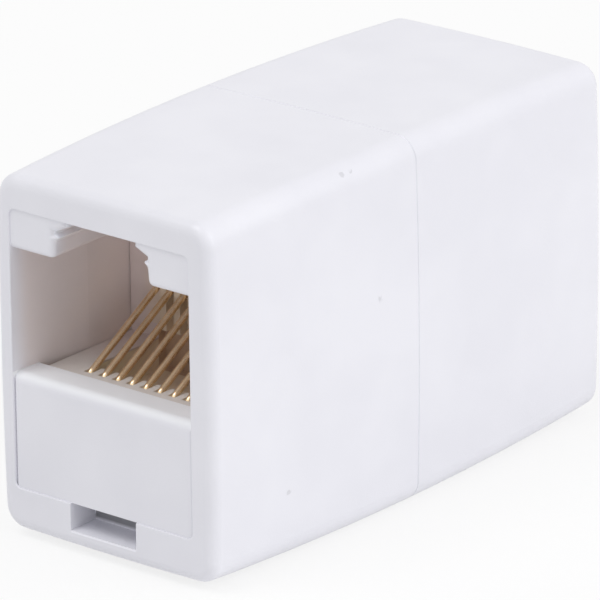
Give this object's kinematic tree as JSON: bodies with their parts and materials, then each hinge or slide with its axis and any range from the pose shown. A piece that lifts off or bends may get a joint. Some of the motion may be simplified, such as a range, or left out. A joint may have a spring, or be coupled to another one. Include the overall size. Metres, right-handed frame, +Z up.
{
  "type": "rj45 inline coupler",
  "caption": "White crowned inline coupler that joins modular network plugs end to end, with a latch-notched socket at each end and gold spring contacts above a blank panel.",
  "frame": {"origin": "middle of the body, on the plane where the two halves of the shell meet", "axes": "+Y along the coupler from the front socket to the rear socket, +X across the sockets, +Z up towards the latch side"},
  "size_m": [0.0164, 0.035, 0.022],
  "materials": {
    "shell": "satin white",
    "block": "matte grey-beige",
    "contact": "gold plated",
    "board": "green solder resist"
  },
  "bodies": {
    "root": {"front_shell": "shell", "rear_shell": "shell", "circuit_board": "board", "front_contact_block": "block", "rear_contact_block": "block", "front_contact_1": "contact", "front_contact_2": "contact", "front_contact_3": "contact", "front_contact_4": "contact", "front_contact_5": "contact", "front_contact_6": "contact", "front_contact_7": "contact", "front_contact_8": "contact", "rear_contact_1": "contact", "rear_contact_2": "contact", "rear_contact_3": "contact", "rear_contact_4": "contact", "rear_contact_5": "contact", "rear_contact_6": "contact", "rear_contact_7": "contact", "rear_contact_8": "contact"}
  },
  "joints": []
}
